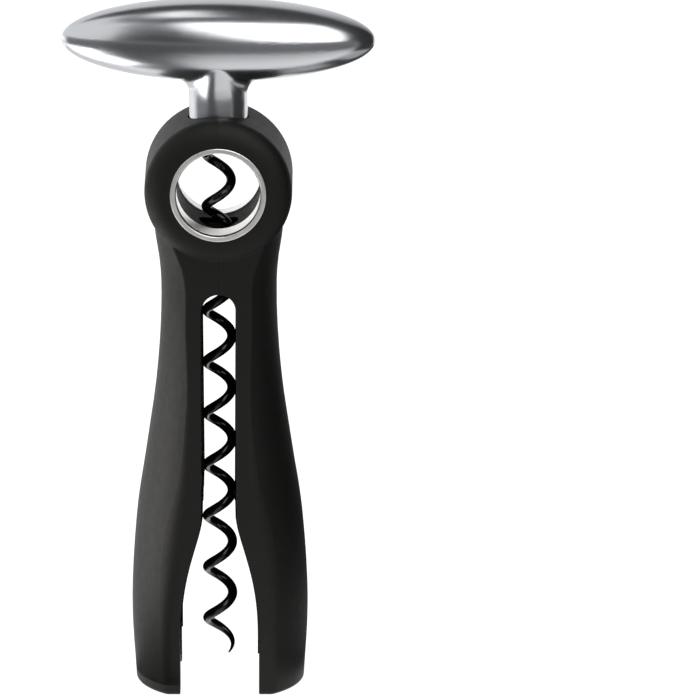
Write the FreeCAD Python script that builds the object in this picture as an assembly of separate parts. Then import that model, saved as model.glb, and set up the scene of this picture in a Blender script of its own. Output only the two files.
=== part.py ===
import FreeCAD, Part
import math
import os

# Self-pulling corkscrew. Two soft-touch half shells make a body that stands on two legs. The bottle's neck
# goes up between the legs, and the worm hangs down the middle on a chromed handle. The handle lifts and
# turns freely: turning it drives the worm into the cork, and then draws the cork up into the cork tube.
#
# Millimetres. +Z is up, the front faces -Y, and the origin is on the table under the middle of the body.

V = FreeCAD.Vector
TOP = 400.0                 # beyond any part of the object, for cutting tools
THROUGH = 50.0              # half length of a cut that goes right through

# ---- driving dimensions -------------------------------------------------------------------------------
# Outside of the body: half width (a circle's radius) and half depth (the flat front and back facets),
# each as (height, size), and how softly the facets run into the round flanks.
BODY_RADIUS = [
    (0, 23.7), (23, 24.85), (49, 23.4), (67, 20.8), (84.5, 18.2), (98, 16.85), (114, 16.28), (138, 17.9)
]
FACET_DEPTH = [
    (0, 18.2), (14, 19.4), (38, 20.1), (58, 19.6), (79, 16.8), (97, 14.4), (114, 13.3), (138, 13.2)
]
FACET_BLEND = [(0, 3.0), (20, 5.0), (45, 9.0), (62, 6.0), (82, 2.0), (114, 0.9), (138, 0.9)]
SECTION_HEIGHTS = (0, 7, 15, 24, 34, 44, 54, 64, 74, 85, 97, 110, 124, 138)
foot_round = 1.2            # rounding round the bottom of each leg
wall = 2.2                  # shell thickness
floor_thickness = 2.6       # closed bottom of each leg
rib_thickness = 1.4
RIB_HEIGHTS = (18, 35, 52, 72, 92, 110)
slot_wall = 2.0             # wall along each side of the slot
window_wall = 2.2           # wall round the window
neck_core_radius = 12.0     # solid core that holds the guide bush
head_core_radius = 13.0     # solid core that holds the stem's bush
neck_hollow_top = 136.0
HEAD_HOLLOW = (125.0, 161.5)

# Round head, a short barrel along Y
head_z = 145.3
head_radius = 20.7
head_half_depth = 15.0
head_nose_width = 6.4       # the faces are domed: this far in from the rim,
head_nose_depth = 4.4       # and this far back from the face
crease_round = 0.8          # where the head meets the neck

# Slot through front and back, as half widths
slot_top_z = 111.0          # centre of the round top
slot_half_width = 4.9
foot_gap_half_width = 11.05
slot_edge_round = 0.35      # its edges on the front and back
SLOT_FLARE = [(11.15, 16), (10.65, 26), (8.5, 37.6), (6.2, 46), (5.0, 52)]
liner_step = 0.4            # the neck linings stand this far into the slot
tube_step = 0.2             # and the cork tube this far
tube_taper = 0.35           # which its own slot loses towards its foot

# Linings of the bottle-neck space and of the cork space
neck_radius = 15.5          # room for a bottle's 29.5 mm lip
neck_pad_outer = 17.25
neck_pad_bottom = 10.8
neck_step = 0.4             # the shells' bore is this much wider than the linings' below them
neck_lead_in = 1.5          # chamfers at the mouths of the neck space and the cork space
pad_lead_in = (1.6, 0.8)    # height and depth of the chamfer at the linings' foot
cork_lead_in = (1.6, 1.0)
lip_stop_z = 57.0           # the bottle's lip stops here
cork_radius = 11.8
cork_tube_outer = 13.0
cork_tube_flat = 11.9       # half depth of the tube's flattened front and back
cork_flange_thickness = 2.0
cork_space_top = 116.2      # the cork stops here
cork_tube_top = 119.5

# Worm: round wire wound right-handed
worm_pitch = 15.11
worm_centre_radius = 3.53
wire_radius = 1.365
worm_tip_z = 7.8
worm_left_z = 17.33         # a height where the wire is at its furthest left
worm_coil_top = 153.5
worm_shank_start = 161.5
worm_shank_top = 176.0
taper_turn = 0.62           # of a turn, at the tip
tip_radius = 0.22
worm_hole_radius = 5.55
guide_bush_outer = 7.5

# Window through the head
window_radius = 12.05
ring_sleeve_outer = 12.75
window_outer = 13.45
ring_proud = 0.15           # the steel flange stands this far out of the head's face
ring_flange = 0.85
ring_groove = 0.3
ring_edge = 0.2             # chamfer round the flange
front_sleeve_depth = 8.4
rear_sleeve_depth = 5.6

# Stem, its bush and the washer it turns on
stem_radius = 8.2
stem_edge = 0.3             # chamfer round the stem's foot
head_hole_radius = 8.6
bush_bore = 8.25
bush_outer = 10.5
bush_collar_outer = 9.6
bush_shoulder_z = 161.0
bush_top_z = 162.6
ledge_z = 160.0
ledge_hole = 7.0
washer_thickness = 1.0
rest_gap = 0.02             # bearing faces stand this far apart at rest
spigot_radius = 6.2
spigot_bottom = 156.2
snap_groove_z = 159.1
snap_groove_height = 0.8
snap_groove_depth = 0.3
snap_ring_outer = 6.8
snap_ring_opening = 5.0
hub_radius = 5.1
hub_bottom = 161.6
hub_top = 178.0
stem_fillet = 4.0
STEM_HEIGHTS = [165.0 + 1.5 * k for k in range(12)]     # level sections of its upper part, up into the grip
stem_flare_start = 169.5    # from here up it widens to the front and back,
stem_flare_ramp = 5.0       # gently at first, over this height,
stem_flare = 0.34           # and then by this much for each millimetre

# Handle: an ellipsoid, lying nearly along X
handle_z = 186.5
handle_half_length = 43.9
handle_half_height = 11.7
handle_half_depth = 13.0
handle_turned = -2.0        # degrees about Z that the free handle rests at

# Fasteners
SCREW_HEIGHTS = (27, 43.5)
screw_shank = 1.2
screw_head = 2.4
screw_end = 22.0
screw_boss = 2.9
screw_cone = 1.3            # height of the countersunk head
screw_sunk = 0.15           # the head's face lies this far under the lining's bore
screw_point = 1.0
CROSS_RECESS = (2.6, 0.5, 0.8)      # length, width and depth of the driver's cross
set_screw_radius = 1.5
set_screw_z = 164.3
set_screw_bite = 0.45       # how far the set screw goes into the hub
set_screw_sunk = 0.35       # and how far its face lies under the stem's surface
set_screw_socket = (0.75, 1.1)      # radius and depth
peg_radius = 1.0
peg_length = 3.0
PEGS = [(y * side, z) for y, z in ((12.4, 161.6), (10.3, 126.0)) for side in (-1, 1)]

fit = 0.05                  # gap between pieces that are assembled together
tight_fit = 0.02
seam = 0.02                 # each shell stops this far from the middle plane


# ---- small helpers ------------------------------------------------------------------------------------
def smooth(points, z):
    """The value at z of a smooth curve through (z, value) points."""
    for k in range(len(points) - 1):
        if z <= points[k + 1][0]:
            break
    (z0, v0), (z1, v1) = points[k], points[k + 1]
    before = points[max(k - 1, 0)]
    after = points[min(k + 2, len(points) - 1)]
    span = z1 - z0
    slope0 = (v1 - before[1]) / (z1 - before[0])
    slope1 = (after[1] - v0) / (after[0] - z0)
    t = (z - z0) / span
    return (
        (2 * t**3 - 3 * t**2 + 1) * v0
        + (t**3 - 2 * t**2 + t) * span * slope0
        + (3 * t**2 - 2 * t**3) * v1
        + (t**3 - t**2) * span * slope1
    )


def rod(radius, z0, z1):
    """A cylinder on the Z axis."""
    return Part.makeCylinder(radius, z1 - z0, V(0, 0, z0))


def rod_y(radius, y0, y1):
    """A cylinder along Y through the middle of the head."""
    return Part.makeCylinder(radius, y1 - y0, V(0, y0, head_z), V(0, 1, 0))


def rod_x(radius, x0, x1, y, z):
    return Part.makeCylinder(radius, x1 - x0, V(x0, y, z), V(1, 0, 0))


def slab(z0, z1):
    return Part.makeBox(2 * TOP, 2 * TOP, z1 - z0, V(-TOP, -TOP, z0))


def polygon(points):
    return Part.Face(Part.makePolygon(points + points[:1]))


def turned(points):
    """A solid turned about Z from a closed (radius, z) outline of straight lines."""
    return polygon([V(r, 0, z) for r, z in points]).revolve(V(0, 0, 0), V(0, 0, 1), 360)


def turned_about_y(points):
    """A solid turned about the head's Y axis from a closed (radius, y) outline."""
    shape = polygon([V(r, y, 0) for r, y in points]).revolve(V(0, 0, 0), V(0, 1, 0), 360)
    return shape.translated(V(0, 0, head_z))


def half(side):
    """Everything on one side of the middle plane, less half the seam. side is -1 for left, 1 for right."""
    start = seam if side > 0 else -seam - TOP
    return Part.makeBox(TOP, 2 * TOP, 2 * TOP, V(start, -TOP, -TOP))


# ---- outside of the body ------------------------------------------------------------------------------
def body_section(z, inset):
    """One level outline: two round flanks, two flat facets and four blends between them."""
    radius = smooth(BODY_RADIUS, z) - inset
    depth = smooth(FACET_DEPTH, z) - inset
    blend = max(smooth(FACET_BLEND, z) - inset, 0.4)
    flat = math.sqrt((radius - blend) ** 2 - (depth - blend) ** 2)
    corner = math.atan2(depth - blend, flat)

    def at(r, angle, cx=0.0, cy=0.0):
        return V(cx + r * math.cos(angle), cy + r * math.sin(angle), z)

    edges = []
    for turn in (0, math.pi):
        sign = 1 if turn == 0 else -1
        flank = Part.Arc(at(radius, turn - corner), at(radius, turn), at(radius, turn + corner))
        centre = (sign * flat, sign * (depth - blend))
        middle = turn + (corner + math.pi / 2) / 2
        up = Part.Arc(
            at(radius, turn + corner), at(blend, middle, *centre), V(sign * flat, sign * depth, z)
        )
        facet = Part.LineSegment(V(sign * flat, sign * depth, z), V(-sign * flat, sign * depth, z))
        centre = (-sign * flat, sign * (depth - blend))
        middle = turn + math.pi - (corner + math.pi / 2) / 2
        down = Part.Arc(
            V(-sign * flat, sign * depth, z),
            at(blend, middle, *centre),
            at(radius, turn + math.pi - corner),
        )
        edges += [flank, up, facet, down]
    return Part.Wire([e.toShape() for e in edges])


def body_loft(inset=0.0):
    return Part.makeLoft([body_section(z, inset) for z in SECTION_HEIGHTS], True, False)


def rounded_foot(body):
    bottom = [e for e in body.Edges if e.BoundBox.ZMax < 0.01]
    return body.makeFillet(foot_round, bottom)


def head_barrel(inset=0.0):
    """The round head: a barrel along Y whose faces are domed towards the rim."""
    r = head_radius - inset
    y = head_half_depth - inset
    width = head_nose_width - inset
    depth = head_nose_depth - inset
    front = Part.ArcOfEllipse(Part.Ellipse(V(r - width, depth - y, 0), width, depth), -math.pi / 2, 0)
    rear = Part.ArcOfEllipse(Part.Ellipse(V(r - width, y - depth, 0), width, depth), 0, math.pi / 2)
    edges = [
        Part.LineSegment(V(0, -y, 0), V(r - width, -y, 0)),
        front,
        Part.LineSegment(V(r, depth - y, 0), V(r, y - depth, 0)),
        rear,
        Part.LineSegment(V(r - width, y, 0), V(0, y, 0)),
        Part.LineSegment(V(0, y, 0), V(0, -y, 0)),
    ]
    outline = Part.Face(Part.Wire([e.toShape() for e in edges]))
    return outline.revolve(V(0, 0, 0), V(0, 1, 0), 360).translated(V(0, 0, head_z))


def slot_cutter(extra=0.0, taper=0.0):
    """The slot, cut through from front to back. extra widens it each side; taper narrows it at its foot."""
    top = slot_half_width + extra
    flare = [V(x + extra, 0, z) for x, z in SLOT_FLARE]
    curve = Part.BSplineCurve()
    curve.interpolate(Points=flare, InitialTangent=V(0, 0, 1), FinalTangent=V(-0.12, 0, 1))
    low = V(foot_gap_half_width + extra, 0, -10)
    right = [
        Part.LineSegment(low, flare[0]).toShape(),
        curve.toShape(),
        Part.LineSegment(flare[-1], V(top - taper, 0, lip_stop_z)).toShape(),
        Part.LineSegment(V(top - taper, 0, lip_stop_z), V(top, 0, slot_top_z)).toShape(),
    ]
    left = [e.mirror(V(0, 0, 0), V(1, 0, 0)) for e in right]
    crown = Part.Arc(V(top, 0, slot_top_z), V(0, 0, slot_top_z + top), V(-top, 0, slot_top_z)).toShape()
    foot = Part.LineSegment(V(-low.x, 0, low.z), low).toShape()
    outline = Part.Face(Part.Wire(Part.sortEdges(right + left + [crown, foot])[0]))
    return outline.extrude(V(0, 100, 0)).translated(V(0, -50, 0))


# ---- shells -------------------------------------------------------------------------------------------
def shell_cavity():
    """The hollow inside the half shells, with its ribs, bosses and slot walls left standing."""
    neck = body_loft(wall).common(slab(floor_thickness, neck_hollow_top))
    head = head_barrel(wall).common(slab(*HEAD_HOLLOW))
    kept = [slot_cutter(extra=slot_wall), rod_y(window_outer + window_wall, -THROUGH, THROUGH)]
    kept += [rod(neck_core_radius, cork_space_top, neck_hollow_top), rod(head_core_radius, head_z, TOP)]
    kept += [slab(z, z + rib_thickness) for z in RIB_HEIGHTS]
    kept += [rod_x(screw_boss, -THROUGH, THROUGH, 0, z) for z in SCREW_HEIGHTS]
    hollow = neck.fuse(head)
    for piece in kept:
        hollow = hollow.cut(piece)
    return hollow


def cork_tube_envelope(gap):
    depth = cork_tube_flat + gap
    flattened = Part.makeBox(2 * THROUGH, 2 * depth, TOP, V(-THROUGH, -depth, 0))
    tube = rod(cork_tube_outer + gap, lip_stop_z, cork_tube_top + gap).common(flattened)
    flange = rod(neck_pad_outer + gap, lip_stop_z, lip_stop_z + cork_flange_thickness + gap)
    return tube.fuse(flange)


def bush_envelope(gap):
    shoulder = rod(bush_outer + gap, head_z, bush_shoulder_z + gap)
    return shoulder.fuse(rod(bush_collar_outer + gap, head_z, bush_top_z + gap))


def on_surface(edge, shape):
    middle = edge.valueAt((edge.FirstParameter + edge.LastParameter) / 2)
    return Part.Shell(shape.Faces).distToShape(Part.Vertex(middle))[0] < 1e-4


def outside_form():
    """Body and head in one, with a rounded crease between them, and the slot with rounded edges."""
    form = rounded_foot(body_loft()).fuse(head_barrel())
    below_head = head_z - head_radius
    crease = [e for e in form.Edges if below_head < e.BoundBox.ZMin and e.BoundBox.ZMax < below_head + 11]
    form = form.makeFillet(crease_round, crease)
    slot = slot_cutter()
    slotted = form.cut(slot)
    edges = [e for e in slotted.Edges if e.BoundBox.ZMax > foot_round]
    edges = [e for e in edges if on_surface(e, slot) and on_surface(e, form)]
    return slotted.makeFillet(slot_edge_round, edges)


def shells():
    outside = outside_form()
    mouth = neck_radius + neck_step
    openings = [
        shell_cavity(),
        rod(mouth, -1, lip_stop_z),
        Part.makeCone(mouth + neck_lead_in, mouth, neck_lead_in),
        rod(neck_pad_outer + fit, neck_pad_bottom - fit, lip_stop_z),
        cork_tube_envelope(fit),
        rod(guide_bush_outer + fit, cork_tube_top, head_z),
        rod_y(window_outer + fit, -THROUGH, THROUGH),
        bush_envelope(fit),
        rod(head_hole_radius, head_z, TOP),
    ]
    pilot_end = screw_end + 0.4
    for z in SCREW_HEIGHTS:
        openings.append(rod_x(screw_shank + tight_fit, -pilot_end, pilot_end, 0, z))
    for piece in openings:
        outside = outside.cut(piece)
    left = outside.common(half(-1))
    right = outside.common(half(1))
    for y, z in PEGS:
        left = left.fuse(rod_x(peg_radius, -peg_length / 2, peg_length, y, z))
        right = right.cut(rod_x(peg_radius + fit, 0, peg_length + 0.3, y, z))
    return {"left_shell": left, "right_shell": right}


# ---- linings ------------------------------------------------------------------------------------------
def neck_pads():
    """The linings of the legs, which slide over the bottle's neck, with countersunk screw holes."""
    top = lip_stop_z - fit
    ring = rod(neck_pad_outer, neck_pad_bottom, top).cut(rod(neck_radius, 0, TOP))
    height, depth = pad_lead_in
    ring = ring.cut(Part.makeCone(neck_radius + depth, neck_radius, height, V(0, 0, neck_pad_bottom)))
    ring = ring.cut(slot_cutter(extra=-liner_step))
    for side in (-1, 1):
        for z in SCREW_HEIGHTS:
            ring = ring.cut(pad_screw_hole(side, z))
    return {"left_neck_pad": ring.common(half(-1)), "right_neck_pad": ring.common(half(1))}


def along_x(side, z, start, length, radius, end_radius=None):
    """A cylinder or cone that runs outwards from the middle plane on one side, at height z."""
    at = V(side * start, 0, z)
    out = V(side, 0, 0)
    if end_radius is None:
        return Part.makeCylinder(radius, length, at, out)
    return Part.makeCone(radius, end_radius, length, at, out)


def pad_screw_hole(side, z):
    """A countersunk hole in a lining, with room for the driver."""
    face = neck_radius + screw_sunk
    head = screw_head + tight_fit
    shank = screw_shank + tight_fit
    hole = along_x(side, z, face, screw_cone, head, shank)
    return hole.fuse(along_x(side, z, 0, face, head)).fuse(along_x(side, z, face, 10, shank))


def pad_screw(side, z):
    """A countersunk screw from the bore outwards through the lining into its shell's boss."""
    face = neck_radius + screw_sunk
    point_at = screw_end - screw_point
    screw = along_x(side, z, face, screw_cone, screw_head, screw_shank)
    screw = screw.fuse(along_x(side, z, face, point_at - face, screw_shank))
    screw = screw.fuse(along_x(side, z, point_at, screw_point, screw_shank, 0.2))
    length, width, depth = CROSS_RECESS
    for across, up in ((length, width), (width, length)):
        recess = Part.makeBox(2 * depth, across, up, V(-depth, -across / 2, -up / 2))
        screw = screw.cut(recess.translated(V(side * face, 0, z)))
    return screw


def pad_screws():
    return Part.makeCompound([pad_screw(side, z) for side in (-1, 1) for z in SCREW_HEIGHTS])


def cork_tube():
    """The tube that the cork is drawn into. Its flange stops the bottle, and its roof stops the cork."""
    tube = cork_tube_envelope(0)
    tube = tube.cut(rod(cork_radius, 0, cork_space_top))
    height, depth = cork_lead_in
    tube = tube.cut(Part.makeCone(cork_radius + depth, cork_radius, height, V(0, 0, lip_stop_z)))
    tube = tube.cut(rod(worm_hole_radius, lip_stop_z, head_z))
    return tube.cut(slot_cutter(extra=-tube_step, taper=tube_taper))


def guide_bush():
    """The sleeve that keeps the worm upright between the cork space and the window."""
    sleeve = rod(guide_bush_outer, cork_tube_top + fit, head_z).cut(rod(worm_hole_radius, lip_stop_z, TOP))
    return sleeve.cut(rod_y(window_outer + fit, -THROUGH, THROUGH))


# ---- window -------------------------------------------------------------------------------------------
def window_tunnel():
    end = head_half_depth + ring_proud - ring_flange - fit
    front = -head_half_depth + front_sleeve_depth
    rear = head_half_depth - rear_sleeve_depth
    seat = ring_sleeve_outer + fit
    tunnel = turned_about_y([
        (seat, -end), (window_outer, -end), (window_outer, end), (seat, end),
        (seat, rear), (window_radius, rear), (window_radius, front), (seat, front),
    ])
    tunnel = tunnel.cut(rod(worm_hole_radius, lip_stop_z, head_z))
    return tunnel.cut(rod(ledge_hole, head_z, TOP))


def window_ring(facing, depth):
    """A steel eyelet: a flat flange on the head's face and a sleeve into the tunnel, with a fine groove."""
    face = head_half_depth + ring_proud
    back = face - ring_flange
    inner = window_radius
    outer = window_outer
    edge = ring_edge
    sleeve_end = head_half_depth - depth + fit
    groove_top = back - ring_groove
    outline = [
        (inner, face - edge), (inner + edge, face), (outer - edge, face), (outer, face - edge),
        (outer, back), (ring_sleeve_outer, back), (ring_sleeve_outer, sleeve_end), (inner, sleeve_end),
        (inner, groove_top), (inner + ring_groove, groove_top), (inner + ring_groove, back), (inner, back),
    ]
    return turned_about_y([(r, facing * y) for r, y in outline])


# ---- handle and worm ----------------------------------------------------------------------------------
def stem_bush():
    """The bearing in the top of the head, with a ledge that carries the washer."""
    bush = bush_envelope(0).cut(rod(bush_bore, ledge_z, TOP)).cut(rod(ledge_hole, 0, TOP))
    return bush.cut(rod_y(window_outer + fit, -THROUGH, THROUGH))


def thrust_washer():
    base = ledge_z + rest_gap
    return rod(stem_radius - 0.1, base, base + washer_thickness - rest_gap).cut(
        rod(spigot_radius + 0.1, 0, TOP)
    )


def stem_section(z):
    """One level outline of the stem: a circle, which widens to the front and back towards the grip."""
    rise = max(z - stem_flare_start, 0)
    if rise < stem_flare_ramp:
        half_depth = stem_radius + stem_flare * rise**2 / (2 * stem_flare_ramp)
    else:
        half_depth = stem_radius + stem_flare * (rise - stem_flare_ramp / 2)
    sizes = FreeCAD.Matrix()
    sizes.scale(stem_radius, half_depth, 1)
    outline = Part.Circle().toShape().transformGeometry(sizes)
    return Part.Wire(outline.translated(V(0, 0, z)).Edges)


def handle():
    """Ellipsoid grip, stem and hollow spigot in one casting."""
    sizes = FreeCAD.Matrix()
    sizes.scale(handle_half_length, handle_half_depth, handle_half_height)
    grip = Part.makeSphere(1.0).transformGeometry(sizes)
    grip.rotate(V(0, 0, 0), V(0, 0, 1), handle_turned)
    grip.translate(V(0, 0, handle_z))
    shoulder = ledge_z + washer_thickness + rest_gap
    stem = turned([
        (0, shoulder), (stem_radius - stem_edge, shoulder), (stem_radius, shoulder + stem_edge),
        (stem_radius, STEM_HEIGHTS[0]), (0, STEM_HEIGHTS[0]),
    ])
    flare = Part.makeLoft([stem_section(z) for z in STEM_HEIGHTS], True, False)
    casting = grip.fuse(stem).fuse(flare)
    underside = handle_z - handle_half_height
    joint = [
        e for e in casting.Edges
        if underside - 1 < e.BoundBox.ZMin and e.BoundBox.ZMax < handle_z
        and e.BoundBox.XLength > stem_radius
    ]
    casting = casting.makeFillet(stem_fillet, joint)
    spigot = rod(spigot_radius, spigot_bottom, shoulder + 1)
    groove = rod(spigot_radius + 1, snap_groove_z, snap_groove_z + snap_groove_height)
    groove = groove.cut(rod(spigot_radius - snap_groove_depth, spigot_bottom, shoulder))
    bore = rod(hub_radius, spigot_bottom - 1, hub_top + 1)
    set_screw_hole = Part.makeCylinder(set_screw_radius, 20, V(0, 0, set_screw_z), V(0, 1, 0))
    return casting.fuse(spigot).cut(groove).cut(bore).cut(set_screw_hole)


def snap_ring():
    """The open ring under the washer that keeps it on the spigot when the handle is lifted."""
    ring = rod(snap_ring_outer, snap_groove_z + fit, snap_groove_z + snap_groove_height - fit)
    ring = ring.cut(rod(spigot_radius - snap_groove_depth + tight_fit, spigot_bottom, handle_z))
    opening = snap_ring_opening
    return ring.cut(Part.makeBox(THROUGH, opening, THROUGH, V(0, -opening / 2, spigot_bottom)))


def worm_hub():
    """The plug that the worm's shank is cast into, held in the handle by its set screw."""
    shank_hole = rod(wire_radius + tight_fit, spigot_bottom, worm_shank_top + 0.2)
    dimple_at = V(0, hub_radius - set_screw_bite - fit, set_screw_z)
    dimple = Part.makeCylinder(set_screw_radius, 2 * hub_radius, dimple_at, V(0, 1, 0))
    return rod(hub_radius - tight_fit, hub_bottom, hub_top).cut(shank_hole).cut(dimple)


def hub_set_screw():
    inner_end = hub_radius - set_screw_bite
    outer_end = stem_radius - set_screw_sunk
    screw = Part.makeCylinder(
        set_screw_radius - tight_fit, outer_end - inner_end, V(0, inner_end, set_screw_z), V(0, 1, 0)
    )
    radius, depth = set_screw_socket
    return screw.cut(Part.makeCylinder(radius, depth + 1, V(0, outer_end - depth, set_screw_z), V(0, 1, 0)))


def worm_point(z):
    """The wire's centre at height z: a coil, drawn in to the axis above coil top."""
    angle = math.pi + 2 * math.pi * (z - worm_left_z) / worm_pitch
    t = min(max((z - worm_coil_top) / (worm_shank_start - worm_coil_top), 0), 1)
    radius = worm_centre_radius * (1 - t * t * (3 - 2 * t))
    return V(radius * math.cos(angle), radius * math.sin(angle), z)


def wire_circle(z, radius):
    step = 0.01
    direction = worm_point(z + step) - worm_point(z - step)
    return Part.Wire(Part.Circle(worm_point(z), direction, radius).toShape())


def wire_loft(bottom, top, radius_at):
    """Wire between two heights, whose radius is a function of how far along it is, from 0 to 1."""
    count = 12
    circles = []
    for k in range(count + 1):
        t = k / count
        circles.append(wire_circle(bottom + t * (top - bottom), radius_at(t)))
    return Part.makeLoft(circles, True, False)


def tip_taper(t):
    return tip_radius + (wire_radius - tip_radius) * math.sin(t * math.pi / 2)


def worm():
    """Tapered tip, even coil, the stretch that draws in to the axis, and the straight shank."""
    taper_top = worm_tip_z + taper_turn * worm_pitch
    helix = Part.makeHelix(worm_pitch, worm_coil_top - taper_top, worm_centre_radius)
    start = worm_point(taper_top)
    helix.rotate(V(0, 0, 0), V(0, 0, 1), math.degrees(math.atan2(start.y, start.x)))
    helix.translate(V(0, 0, taper_top))
    coil = Part.Wire(helix.Edges).makePipeShell([wire_circle(taper_top, wire_radius)], True, True)
    tip = wire_loft(worm_tip_z, taper_top, tip_taper)
    crank = wire_loft(worm_coil_top, worm_shank_start, lambda t: wire_radius)
    return coil.fuse(tip).fuse(crank).fuse(rod(wire_radius, worm_shank_start, worm_shank_top))


# ---- write every piece --------------------------------------------------------------------------------
def build():
    parts = shells()
    parts.update(neck_pads())
    parts["pad_screws"] = pad_screws()
    parts["cork_tube"] = cork_tube()
    parts["guide_bush"] = guide_bush()
    parts["window_tunnel"] = window_tunnel()
    parts["front_window_ring"] = window_ring(-1, front_sleeve_depth)
    parts["rear_window_ring"] = window_ring(1, rear_sleeve_depth)
    parts["stem_bush"] = stem_bush()
    parts["thrust_washer"] = thrust_washer()
    parts["handle"] = handle()
    parts["snap_ring"] = snap_ring()
    parts["worm_hub"] = worm_hub()
    parts["hub_set_screw"] = hub_set_screw()
    parts["worm"] = worm()
    return parts


os.makedirs("parts", exist_ok=True)
for node, shape in build().items():
    solids = len(shape.Solids)
    print(f"{node}: {solids} solid(s), {shape.Volume:.1f} mm3, valid {shape.isValid()}")
    shape.exportStep(f"parts/{node}.step")
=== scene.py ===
import math

import bpy
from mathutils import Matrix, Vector


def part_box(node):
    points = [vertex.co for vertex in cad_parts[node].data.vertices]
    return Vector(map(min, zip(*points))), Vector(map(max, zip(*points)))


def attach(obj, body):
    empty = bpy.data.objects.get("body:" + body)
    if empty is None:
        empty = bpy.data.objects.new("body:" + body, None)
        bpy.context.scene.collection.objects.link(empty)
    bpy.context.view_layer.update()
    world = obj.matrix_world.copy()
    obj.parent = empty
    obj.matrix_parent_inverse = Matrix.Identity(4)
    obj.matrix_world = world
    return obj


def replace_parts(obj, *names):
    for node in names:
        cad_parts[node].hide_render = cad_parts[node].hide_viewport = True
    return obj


# A self-pulling corkscrew in a small studio. Metres, in the CAD model's frame: the front faces -Y, the worm
# hangs on the Z axis, and the origin is on the table under the middle of the body.

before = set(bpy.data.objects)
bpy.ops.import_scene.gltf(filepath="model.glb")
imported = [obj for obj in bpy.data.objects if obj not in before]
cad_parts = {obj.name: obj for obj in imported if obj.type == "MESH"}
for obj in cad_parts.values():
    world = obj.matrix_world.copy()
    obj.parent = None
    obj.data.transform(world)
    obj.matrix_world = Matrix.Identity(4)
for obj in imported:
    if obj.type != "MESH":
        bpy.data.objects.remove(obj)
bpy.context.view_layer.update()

MM = 0.001
RING_LOW, RING_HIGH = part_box("front_window_ring")
HEAD_Z = (RING_LOW.z + RING_HIGH.z) / 2  # the height of the windows' axis
GRIP_HALF_HEIGHT = 11.7 * MM
GRIP = Vector((0, 0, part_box("handle")[1].z - GRIP_HALF_HEIGHT))  # the middle of the handle's grip


# ---- nodes --------------------------------------------------------------------------------------------
class Tree:
    """A node tree being made, with short ways to add nodes."""

    def __init__(self, owner):
        owner.use_nodes = True
        self.nodes = owner.node_tree.nodes
        self.links = owner.node_tree.links

    def separate(self, vector):
        """A vector's parts, by the names X, Y and Z."""
        split = self.nodes.new("ShaderNodeSeparateXYZ")
        self.links.new(vector, split.inputs["Vector"])
        return split.outputs

    def compute(self, operation, *values):
        """The result of a Math node for numbers and other nodes' outputs."""
        node = self.nodes.new("ShaderNodeMath")
        node.operation = operation
        for socket, value in zip(node.inputs, values):
            if isinstance(value, (int, float)):
                socket.default_value = value
            else:
                self.links.new(value, socket)
        return node.outputs["Value"]

    def spread(self, factor, low, high, start, end):
        """A number that goes smoothly from low to high as factor goes from start to end."""
        node = self.nodes.new("ShaderNodeMapRange")
        node.interpolation_type = "SMOOTHSTEP"
        self.links.new(factor, node.inputs["Value"])
        for socket, value in (("From Min", start), ("From Max", end), ("To Min", low), ("To Max", high)):
            node.inputs[socket].default_value = value
        return node.outputs["Result"]


class Finish(Tree):
    """A material being made from a Principled shader."""

    NOISE_SPAN = (0.3, 0.7)  # where nearly all of a noise's values lie

    def __init__(self, name, metallic=0.0, specular=0.5):
        self.material = bpy.data.materials.new(name)
        super().__init__(self.material)
        self.shader = self.nodes["Principled BSDF"]
        self.put("Metallic", metallic)
        self.put("Specular IOR Level", specular)
        self.where = self.nodes.new("ShaderNodeTexCoord").outputs["Object"]

    def put(self, socket, value):
        """Sets a number or colour on the shader's own socket."""
        self.shader.inputs[socket].default_value = value

    def feed(self, socket, source):
        """Links another node's output to the shader."""
        self.links.new(source, self.shader.inputs[socket])

    def noise(self, per_mm, detail=2.0, roughness=0.5):
        """Noise from 0 to 1 with that many features to a millimetre."""
        noise = self.nodes.new("ShaderNodeTexNoise")
        noise.inputs["Scale"].default_value = per_mm / MM
        noise.inputs["Detail"].default_value = detail
        noise.inputs["Roughness"].default_value = roughness
        self.links.new(self.where, noise.inputs["Vector"])
        return noise.outputs["Fac"]

    def colour(self, noise, low, high):
        """A base colour that goes from low to high with the noise."""
        ramp = self.nodes.new("ShaderNodeValToRGB")
        for element, position, colour in zip(ramp.color_ramp.elements, self.NOISE_SPAN, (low, high)):
            element.position = position
            element.color = (*colour, 1.0)
        self.links.new(noise, ramp.inputs["Fac"])
        self.feed("Base Color", ramp.outputs["Color"])

    def roughness(self, noise, low, high):
        """A roughness that goes from low to high with the noise."""
        self.feed("Roughness", self.spread(noise, low, high, *self.NOISE_SPAN))

    def relief(self, height, depth, strength):
        """Bumps of that depth in metres."""
        bump = self.nodes.new("ShaderNodeBump")
        bump.inputs["Distance"].default_value = depth
        bump.inputs["Strength"].default_value = strength
        self.links.new(height, bump.inputs["Height"])
        self.feed("Normal", bump.outputs["Normal"])


# ---- materials ----------------------------------------------------------------------------------------
def soft_touch_black():
    """Rubbery paint on the shells: very matt, with a fine grain."""
    finish = Finish("soft_touch_black", specular=0.3)
    finish.put("Specular Tint", (1.0, 0.975, 0.935, 1.0))
    finish.colour(finish.noise(0.08, detail=3), (0.0016, 0.0015, 0.0014), (0.0026, 0.0025, 0.0023))
    finish.roughness(finish.noise(0.5, detail=4), 0.54, 0.60)
    finish.relief(finish.noise(5.0, detail=3, roughness=0.6), 0.02 * MM, 0.5)
    return finish.material


def lining_black():
    """Moulded plastic of the linings: smoother, with a fine spark-eroded texture and hardly any shine."""
    finish = Finish("lining_black", specular=0.01)
    finish.colour(finish.noise(0.2), (0.005, 0.005, 0.005), (0.008, 0.008, 0.008))
    finish.roughness(finish.noise(0.8, detail=4), 0.36, 0.46)
    finish.relief(finish.noise(7.0), 0.02 * MM, 0.4)
    return finish.material


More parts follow.
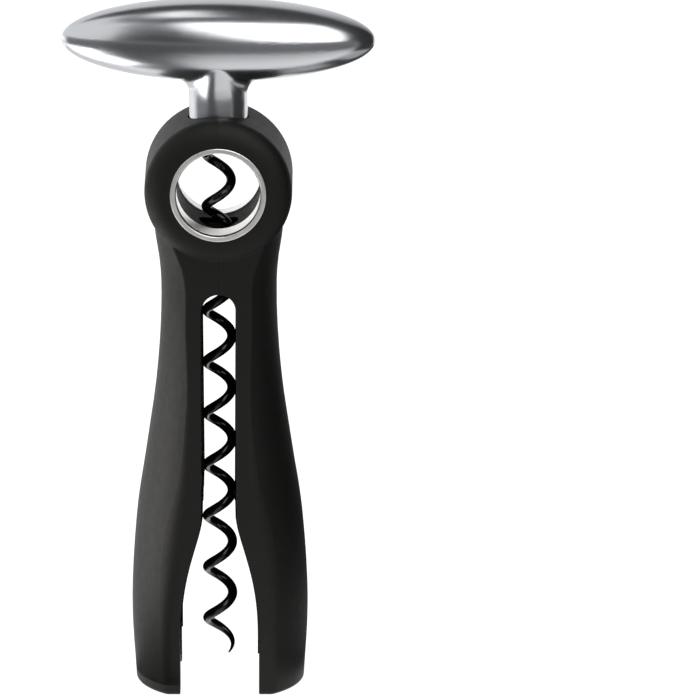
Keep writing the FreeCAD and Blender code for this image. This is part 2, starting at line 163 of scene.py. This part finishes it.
def bush_plastic():
    """Dark bearing plastic of the bushes and the washer inside, slightly mottled."""
    finish = Finish("bush_plastic")
    finish.colour(finish.noise(0.4), (0.025, 0.025, 0.026), (0.036, 0.036, 0.036))
    finish.roughness(finish.noise(1.5, detail=3), 0.32, 0.45)
    finish.relief(finish.noise(4.0), 0.02 * MM, 0.3)
    return finish.material


def polished_chrome():
    """Plated casting of the handle: polished, with a very slight waviness."""
    finish = Finish("polished_chrome", metallic=1.0)
    finish.put("Base Color", (0.57, 0.585, 0.61, 1.0))
    finish.roughness(finish.noise(0.12, detail=4), 0.195, 0.225)
    finish.relief(finish.noise(0.6), 0.006 * MM, 0.2)
    return finish.material


def satin_steel():
    """Turned steel of the window rings, with fine circular tool marks round the window's axis."""
    finish = Finish("satin_steel", metallic=1.0)
    finish.put("Base Color", (0.95, 0.935, 0.91, 1.0))
    finish.roughness(finish.noise(0.5), 0.31, 0.37)
    place = finish.separate(finish.where)
    rise = finish.compute("SUBTRACT", place["Z"], HEAD_Z)
    square = finish.compute("MULTIPLY", rise, rise)
    radius = finish.compute("SQRT", finish.compute("MULTIPLY_ADD", place["X"], place["X"], square))
    marks = finish.nodes.new("ShaderNodeTexNoise")
    marks.noise_dimensions = "1D"
    marks.inputs["Scale"].default_value = 9 / MM
    marks.inputs["Detail"].default_value = 2
    finish.links.new(radius, marks.inputs["W"])
    finish.relief(marks.outputs["Fac"], 0.002 * MM, 0.2)
    return finish.material


def worm_coating():
    """Black low-friction coating of the worm: glossy, with a slight orange peel."""
    finish = Finish("worm_coating", specular=0.35)
    finish.colour(finish.noise(0.5), (0.005, 0.005, 0.0055), (0.008, 0.008, 0.008))
    finish.roughness(finish.noise(2.0, detail=3), 0.11, 0.18)
    finish.relief(finish.noise(3.0), 0.02 * MM, 0.25)
    return finish.material


def fastener_steel():
    """Plain steel of the screws, snap ring and hub inside, with a fine grain."""
    finish = Finish("fastener_steel", metallic=1.0)
    finish.put("Base Color", (0.50, 0.50, 0.51, 1.0))
    finish.roughness(finish.noise(3.0, detail=3), 0.3, 0.45)
    finish.relief(finish.noise(8.0), 0.01 * MM, 0.3)
    return finish.material


FINISHES = {
    soft_touch_black: ("left_shell", "right_shell"),
    lining_black: ("left_neck_pad", "right_neck_pad", "cork_tube", "window_tunnel"),
    bush_plastic: ("guide_bush", "stem_bush", "thrust_washer"),
    satin_steel: ("front_window_ring", "rear_window_ring"),
    polished_chrome: ("handle",),
    worm_coating: ("worm",),
    fastener_steel: ("pad_screws", "snap_ring", "worm_hub", "hub_set_screw"),
}


def finish_nodes():
    """Makes the materials, puts them on the CAD model's nodes, and returns them by name."""
    materials = {}
    for make, nodes in FINISHES.items():
        material = materials[make.__name__] = make()
        for node in nodes:
            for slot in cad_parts[node].material_slots:
                slot.link = "OBJECT"
                slot.material = material
    return materials


# ---- window rings -------------------------------------------------------------------------------------
# Millimetres. Radii are from the window's axis, and depths are from the body's middle plane.
FLANGE_R, FACE_Y = RING_HIGH.x / MM, -RING_LOW.y / MM
WINDOW_R, SLEEVE_R, GROOVE_R, SEAT_R = 12.05, 11.8, 12.45, 12.75
FLANGE_Y, GROOVE_FRONT_Y, GROOVE_BACK_Y = 14.3, 14.4, 13.8
# Play and dish of the dark ring of painted shade that sits in the groove.
SHADE_RING_PLAY, SHADE_RING_DISH = 0.03, 0.2
SEEN_EDGE, SLEEVE_EDGE, FLANGE_EDGE, INNER_EDGE = 0.25, 0.1, 0.06, 0.05


def rounded(corner, before, after, size):
    """Points of a small round in place of an outline's corner, and one just outside each end of it."""
    steps, lead = 4, 1.3
    corner, before, after = Vector(corner), Vector(before), Vector(after)
    back = (before - corner).normalized() * size
    on = (after - corner).normalized() * size
    points = [corner + lead * back]
    for k in range(steps + 1):
        t = k / steps
        points.append(corner + (1 - t) ** 2 * back + t**2 * on)
    return points + [corner + lead * on]


def turned(name, corners, facing, slot, materials):
    """A ring turned round the window's axis from corners of radius, depth and rounding in millimetres."""
    outline = []
    for k, (radius, depth, size) in enumerate(corners):
        before, after = corners[k - 1], corners[(k + 1) % len(corners)]
        outline += rounded((radius, depth), before[:2], after[:2], size)
    segments, count = 288, len(outline)
    points, faces = [], []
    for k in range(segments):
        turn = 2 * math.pi * k / segments
        across, up = math.cos(turn), math.sin(turn)
        points += [(r * MM * across, facing * y * MM, HEAD_Z + r * MM * up) for r, y in outline]
        here, following = k * count, (k + 1) % segments * count
        for j in range(count):
            faces.append((here + j, following + j, following + (j + 1) % count, here + (j + 1) % count))
    mesh = bpy.data.meshes.new(name)
    mesh.from_pydata(points, [], faces)
    if facing < 0:
        mesh.flip_normals()
    mesh.shade_smooth()
    mesh.materials.append(materials[slot])
    ring = bpy.data.objects.new(name, mesh)
    bpy.context.scene.collection.objects.link(ring)
    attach(ring, "body")
    return ring


def window_ring(name, facing, sleeve_end, materials):
    """An eyelet: a flange with rounded edges, a sleeve into the window, and a dark ring of painted shade in
    the groove between them.
    """
    eyelet = [
        (WINDOW_R, FACE_Y, SEEN_EDGE),
        (FLANGE_R, FACE_Y, SEEN_EDGE),
        (FLANGE_R, FLANGE_Y, FLANGE_EDGE),
        (SEAT_R, FLANGE_Y, INNER_EDGE),
        (SEAT_R, sleeve_end, SLEEVE_EDGE),
        (SLEEVE_R, sleeve_end, SLEEVE_EDGE),
        (SLEEVE_R, GROOVE_BACK_Y, INNER_EDGE),
        (GROOVE_R, GROOVE_BACK_Y, INNER_EDGE),
        (GROOVE_R, GROOVE_FRONT_Y, INNER_EDGE),
        (WINDOW_R, GROOVE_FRONT_Y, INNER_EDGE),
    ]
    # A dark ring in the groove between flange and sleeve: painted shade where the gap falls dark.
    inner, outer = SLEEVE_R + SHADE_RING_PLAY, GROOVE_R - SHADE_RING_PLAY
    back, front = GROOVE_BACK_Y + SHADE_RING_PLAY, GROOVE_FRONT_Y - SHADE_RING_PLAY
    painted_shade_ring = [
        (inner, back, INNER_EDGE),
        (outer, back, INNER_EDGE),
        (outer, front, INNER_EDGE),
        (inner, front - SHADE_RING_DISH, INNER_EDGE),
    ]
    turned(f"{name}_gasket", painted_shade_ring, facing, "lining_black", materials)
    return turned(name, eyelet, facing, "satin_steel", materials)


def window_rings(materials):
    """Finer rings in place of the CAD model's, with sleeves as long as theirs."""
    front_sleeve_end = -RING_HIGH.y / MM
    rear_sleeve_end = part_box("rear_window_ring")[0].y / MM
    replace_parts(window_ring("front_eyelet", -1, front_sleeve_end, materials), "front_window_ring")
    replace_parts(window_ring("rear_eyelet", 1, rear_sleeve_end, materials), "rear_window_ring")


# ---- studio -------------------------------------------------------------------------------------------
CARD_DISTANCE, LAYER_GAP, SOFTBOX_DISTANCE = 1.6, 0.08, 1.5  # metres
BOARD_FOOT_Z, FOOT_CARD_Z = 2.0, 1.5  # millimetres
STEEPEST = 89.9  # degrees


def toward(azimuth, elevation, distance, origin=GRIP):
    """A point that far from the grip. Azimuth 0 is in front of the object and 90 is on its right."""
    a, e = math.radians(azimuth), math.radians(elevation)
    offset = Vector((math.sin(a) * math.cos(e), -math.cos(a) * math.cos(e), math.sin(e)))
    return origin + distance * offset


def card_material(name, strength, soft):
    """Glow with edges that fade out over a share of the card's width and of its height."""
    material = bpy.data.materials.new(name)
    tree = Tree(material)
    tree.nodes.clear()
    place = tree.separate(tree.nodes.new("ShaderNodeTexCoord").outputs["UV"])
    fades = []
    for axis, share in zip("XY", soft):
        from_edge = tree.compute("PINGPONG", place[axis], 0.5)
        fades.append(tree.spread(from_edge, 0.0, 1.0, 0.0, share))
    glow = tree.nodes.new("ShaderNodeEmission")
    glow.inputs["Strength"].default_value = strength
    mix = tree.nodes.new("ShaderNodeMixShader")
    tree.links.new(tree.compute("MULTIPLY", *fades), mix.inputs["Fac"])
    tree.links.new(tree.nodes.new("ShaderNodeBsdfTransparent").outputs["BSDF"], mix.inputs[1])
    tree.links.new(glow.outputs["Emission"], mix.inputs[2])
    output = tree.nodes.new("ShaderNodeOutputMaterial")
    tree.links.new(mix.outputs["Shader"], output.inputs["Surface"])
    return material


def place_card(name, mesh, strength, soft):
    """Puts a card in the studio, where only reflections show it."""
    mesh.materials.append(card_material(name, strength, soft))
    board = bpy.data.objects.new(name, mesh)
    bpy.context.scene.collection.objects.link(board)
    board.visible_camera = False
    board.visible_shadow = False
    board.visible_diffuse = False


def card(name, azimuths, elevations, strength, soft, layer=0, slope=0.0, lean=0.0):
    """A glowing or dark board for the object to reflect.

    It covers a range of directions as seen from the grip, and lies on the table where they point below
    it. Cards of higher layers are in front. Slope lowers it to the right, and lean shifts its top to the
    left, each in degrees for one degree.
    """
    columns, rows = 20, 20
    distance = CARD_DISTANCE - LAYER_GAP * layer
    drop = GRIP.z - (layer + 1) * MM
    middle_azimuth, middle_elevation = sum(azimuths) / 2, sum(elevations) / 2
    points, places = [], []
    for row in range(rows + 1):
        for column in range(columns + 1):
            u, v = column / columns, row / rows
            azimuth = azimuths[0] + u * (azimuths[1] - azimuths[0])
            elevation = elevations[0] + v * (elevations[1] - elevations[0])
            down = slope * (azimuth - middle_azimuth)
            azimuth -= lean * (elevation - middle_elevation)
            elevation = min(max(elevation - down, -STEEPEST), STEEPEST)
            reach = distance
            if elevation < 0:
                reach = min(distance, drop / math.sin(math.radians(-elevation)))
            points.append(toward(azimuth, elevation, reach))
            places.append((u, v))
    wide = columns + 1
    lower_left = [row * wide + column for row in range(rows) for column in range(columns)]
    faces = [(k, k + 1, k + 1 + wide, k + wide) for k in lower_left]
    mesh = bpy.data.meshes.new(name)
    mesh.from_pydata(points, [], faces)
    uv = mesh.uv_layers.new(name="across")
    for loop in mesh.loops:
        uv.data[loop.index].uv = places[loop.vertex_index]
    place_card(name, mesh, strength, soft)


def flat_card(name, corners, strength, soft):
    """A card with four given corners, anticlockwise from its lower left one."""
    mesh = bpy.data.meshes.new(name)
    mesh.from_pydata(corners, [], [(0, 1, 2, 3)])
    uv = mesh.uv_layers.new(name="across")
    for loop, place in zip(uv.data, ((0, 0), (1, 0), (1, 1), (0, 1))):
        loop.uv = place
    place_card(name, mesh, strength, soft)


def softbox(name, azimuth, elevation, width, height, strength, soft):
    """A flat card that faces the grip, width and height in degrees as seen from it."""
    centre = toward(azimuth, elevation, SOFTBOX_DISTANCE)
    right = Vector((math.cos(math.radians(azimuth)), math.sin(math.radians(azimuth)), 0))
    up = (centre - GRIP).normalized().cross(right)
    half_width = SOFTBOX_DISTANCE * math.tan(math.radians(width / 2)) * right
    half_height = SOFTBOX_DISTANCE * math.tan(math.radians(height / 2)) * up
    corners = [centre + x * half_width + y * half_height for x, y in ((-1, -1), (1, -1), (1, 1), (-1, 1))]
    flat_card(name, corners, strength, soft)


def upright_card(name, x, front, back, top, strength, soft):
    """A flat card beside the body, in millimetres, for its flanks to reflect."""
    outline = ((front, BOARD_FOOT_Z), (back, BOARD_FOOT_Z), (back, top), (front, top))
    flat_card(name, [Vector((x, y, z)) * MM for y, z in outline], strength, soft)


def foot_card(name, left, right, front, back, strength, soft):
    """A flat card that lies on the table beside the foot, in millimetres."""
    outline = ((left, front), (right, front), (right, back), (left, back))
    flat_card(name, [Vector((x, y, FOOT_CARD_Z)) * MM for x, y in outline], strength, soft)


def studio():
    """The cards: for most of them azimuths, elevations, strength, and softness across and upwards."""
    card("left_panel", (-150, -30), (-4, 68), 1.0, (0.1, 0.1))
    card("left_back_table", (-176, -100), (-66, -8), 0.9, (0.1, 0.15))
    card("left_table", (-106, -53), (-60, -26), 3.2, (0.08, 0.12), lean=-0.15)
    card("left_low", (-150, -84), (-34, 6), 1.8, (0.1, 0.2))
    softbox("key", 20, 44, 58, 76, 3.0, (0.23, 0.2))
    card("horizon", (-115, 75), (-31, 14), 0.2, (0.15, 0.25), layer=1)
    card("right_flag", (54, 130), (-42, 66), 0.04, (0.12, 0.1), layer=3)
    card("right_table", (52, 155), (-82, -20), 0.5, (0.2, 0.15), layer=2)
    card("right_back_table", (112, 168), (-66, -18), 0.08, (0.2, 0.15), layer=3)
    upright_card("left_board", -75, -55, 12, 108, 3.5, (0.1, 0.15))
    upright_card("right_board", 75, -40, 90, 104, 0.03, (0.15, 0.25))
    foot_card("right_foot_card", 25, 76, -35, 90, 0.08, (0.1, 0.1))
    card("top", (-180, 180), (66, 90), 0.05, (0.001, 0.2), layer=3)
    card("rear_arc", (66, 232), (53, 86), 0.04, (0.08, 0.12), layer=3, slope=0.2)
    card("right_upper_flag", (56, 150), (52, 88), 0.05, (0.12, 0.15), layer=4)
    card("overhead_strip", (-165, -50), (72, 88), 1.9, (0.1, 0.35), layer=4, slope=-0.1)
    card("left_upper_flag", (-46, -2), (4, 78), 0.05, (0.42, 0.12), layer=3, lean=0.65)
    card("left_lower_flag", (-56, -8), (-88, 6), 0.1, (0.32, 0.1), layer=3, lean=-0.3)
    card("left_foot_flag", (-105, -20), (-89, -60), 0.2, (0.2, 0.25), layer=2)


def studio_air():
    """Light from all round: pale along and below the horizon, and brightest behind on the left."""
    world = bpy.data.worlds.new("studio_air")
    air = Tree(world)
    direction = air.nodes.new("ShaderNodeTexCoord").outputs["Generated"]
    horizon = air.spread(air.separate(direction)["Z"], 0.2, 0.0, 0.0, 0.3)
    brightest = Vector((-0.55, 0.83, 0.1)).normalized()
    nearness = air.nodes.new("ShaderNodeVectorMath")
    nearness.operation = "DOT_PRODUCT"
    nearness.inputs[1].default_value = brightest
    air.links.new(direction, nearness.inputs[0])
    behind = air.spread(nearness.outputs["Value"], 0.05, 0.9, -0.1, 0.9)
    background = air.nodes["Background"]
    background.inputs["Color"].default_value = (1, 1, 1, 1)
    air.links.new(air.compute("ADD", horizon, behind), background.inputs["Strength"])
    bpy.context.scene.world = world


def floor():
    """A white table that glows, less in front of the object than behind it."""
    size = 12.0
    corners = [(-size, -size, 0), (size, -size, 0), (size, size, 0), (-size, size, 0)]
    mesh = bpy.data.meshes.new("floor")
    mesh.from_pydata(corners, [], [(0, 1, 2, 3)])
    finish = Finish("floor_paper", specular=0.0)
    finish.put("Base Color", (0.6, 0.6, 0.6, 1.0))
    finish.put("Roughness", 0.9)
    finish.put("Emission Color", (1, 1, 1, 1))
    dim, bright = 0.45, 1.0
    front, back = -0.32, -0.01
    glow = finish.spread(finish.separate(finish.where)["Y"], dim, bright, front, back)
    finish.feed("Emission Strength", glow)
    mesh.materials.append(finish.material)
    paper = bpy.data.objects.new("floor", mesh)
    bpy.context.scene.collection.objects.link(paper)


def camera():
    """A long lens, a little above the object, aimed to the right of it."""
    aim = Vector((36.8, 0, 96.2)) * MM
    elevation, distance = 16, 3.0
    data = bpy.data.cameras.new("camera")
    data.lens = 548  # millimetres
    eye = bpy.data.objects.new("camera", data)
    bpy.context.scene.collection.objects.link(eye)
    eye.location = toward(0, elevation, distance, origin=aim)
    eye.rotation_euler = (aim - eye.location).to_track_quat("-Z", "Y").to_euler()
    bpy.context.scene.camera = eye
    bpy.context.scene.view_settings.view_transform = "Standard"


materials = finish_nodes()
window_rings(materials)
studio()
studio_air()
floor()
camera()
